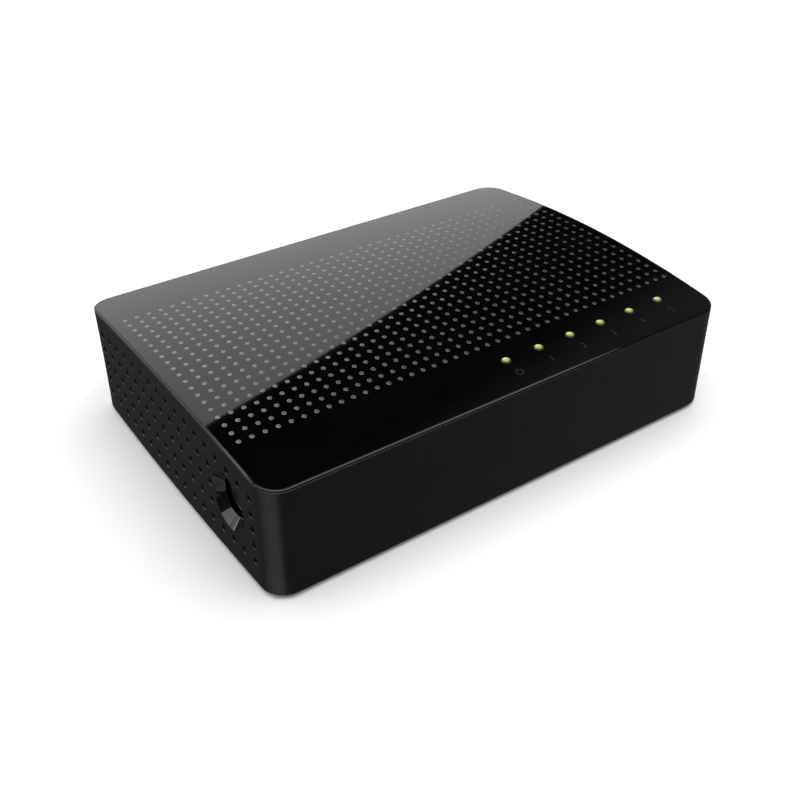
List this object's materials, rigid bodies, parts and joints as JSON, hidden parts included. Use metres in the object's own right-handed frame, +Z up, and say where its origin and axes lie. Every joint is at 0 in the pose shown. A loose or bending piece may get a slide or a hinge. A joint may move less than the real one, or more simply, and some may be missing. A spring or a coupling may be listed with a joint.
{
  "type": "desktop network switch",
  "caption": "Small black desktop network switch: arched glossy dotted top with a row of green lamps, vented sides, round power recess, ganged ports at the back.",
  "frame": {"origin": "on the surface that the feet stand on, under the middle of the case", "axes": "+X to the right and -Y to the front, where the lamps are; +Z up; the ports face +Y and the power socket faces -X"},
  "size_m": [0.102, 0.0716, 0.0252],
  "materials": {
    "satin_black": "satin black moulded plastic with a fine texture",
    "gloss_black": "high-gloss black sheet with small grey dots",
    "matte_black": "fine matte texture",
    "rubber": "plain",
    "label_paper": "blank",
    "screw_steel": "zinc plated",
    "board_green": "green solder mask over glass fibre",
    "socket_black": "moulded black",
    "contact_gold": "gold plated",
    "nickel": "nickel plated",
    "guide_clear": "clear moulding lit yellow-green from below",
    "chip_black": "moulded epoxy",
    "ferrite": "pressed ferrite",
    "capacitor_sleeve": "black sleeve",
    "heat_sink_aluminium": "extruded",
    "thermal_pad": "soft silicone",
    "lamp_resin": "clear resin",
    "ceramic_blue": "dipped"
  },
  "bodies": {
    "case": {"top_cover": "satin_black", "top_panel": "gloss_black", "bottom_cover": "matte_black", "rating_label": "label_paper", "foot_front_left": "rubber", "case_screw_front_left": "screw_steel", "foot_front_right": "rubber", "case_screw_front_right": "screw_steel", "foot_back_left": "rubber", "case_screw_back_left": "screw_steel", "foot_back_right": "rubber", "case_screw_back_right": "screw_steel", "board_screw_left": "screw_steel", "board_screw_right": "screw_steel", "circuit_board": "board_green", "port_housing": "socket_black", "lan_transformer_1": "chip_black", "lamp_port_1": "lamp_resin", "lan_transformer_2": "chip_black", "lamp_port_2": "lamp_resin", "lan_transformer_3": "chip_black", "lamp_port_3": "lamp_resin", "lan_transformer_4": "chip_black", "lamp_port_4": "lamp_resin", "lan_transformer_5": "chip_black", "lamp_port_5": "lamp_resin", "lamp_power": "lamp_resin", "power_socket_body": "socket_black", "power_socket_pin": "nickel", "light_guide": "guide_clear", "switch_chip": "chip_black", "thermal_pad": "thermal_pad", "heat_sink": "heat_sink_aluminium", "memory_chip": "chip_black", "converter_chip": "chip_black", "crystal": "nickel", "inductor": "ferrite", "input_capacitor": "capacitor_sleeve", "output_capacitor": "capacitor_sleeve", "diode": "chip_black", "earth_capacitor": "ceramic_blue"},
    "port_1_contacts": {"port_1_contacts": "contact_gold"},
    "port_2_contacts": {"port_2_contacts": "contact_gold"},
    "port_3_contacts": {"port_3_contacts": "contact_gold"},
    "port_4_contacts": {"port_4_contacts": "contact_gold"},
    "port_5_contacts": {"port_5_contacts": "contact_gold"},
    "power_socket_leaf": {"power_socket_leaf": "nickel"}
  },
  "joints": [
    {"name": "port_1_contacts_flex", "type": "hinge", "parent": "case", "child": "port_1_contacts", "pos_m": [-0.02794, 0.0322, 0.0177], "axis": [-1, 0, 0], "range_deg": [0, 13], "stiffness_Nm_per_rad": 0.2, "springref_deg": -5.73},
    {"name": "port_2_contacts_flex", "type": "hinge", "parent": "case", "child": "port_2_contacts", "pos_m": [-0.01397, 0.0322, 0.0177], "axis": [-1, 0, 0], "range_deg": [0, 13], "stiffness_Nm_per_rad": 0.2, "springref_deg": -5.73},
    {"name": "port_3_contacts_flex", "type": "hinge", "parent": "case", "child": "port_3_contacts", "pos_m": [0, 0.0322, 0.0177], "axis": [-1, 0, 0], "range_deg": [0, 13], "stiffness_Nm_per_rad": 0.2, "springref_deg": -5.73},
    {"name": "port_4_contacts_flex", "type": "hinge", "parent": "case", "child": "port_4_contacts", "pos_m": [0.01397, 0.0322, 0.0177], "axis": [-1, 0, 0], "range_deg": [0, 13], "stiffness_Nm_per_rad": 0.2, "springref_deg": -5.73},
    {"name": "port_5_contacts_flex", "type": "hinge", "parent": "case", "child": "port_5_contacts", "pos_m": [0.02794, 0.0322, 0.0177], "axis": [-1, 0, 0], "range_deg": [0, 13], "stiffness_Nm_per_rad": 0.2, "springref_deg": -5.73},
    {"name": "power_socket_leaf_flex", "type": "hinge", "parent": "case", "child": "power_socket_leaf", "pos_m": [-0.0358, -0.0215, 0.00795], "axis": [0, -1, 0], "range_deg": [0, 5], "stiffness_Nm_per_rad": 0.3, "springref_deg": -5.73}
  ]
}
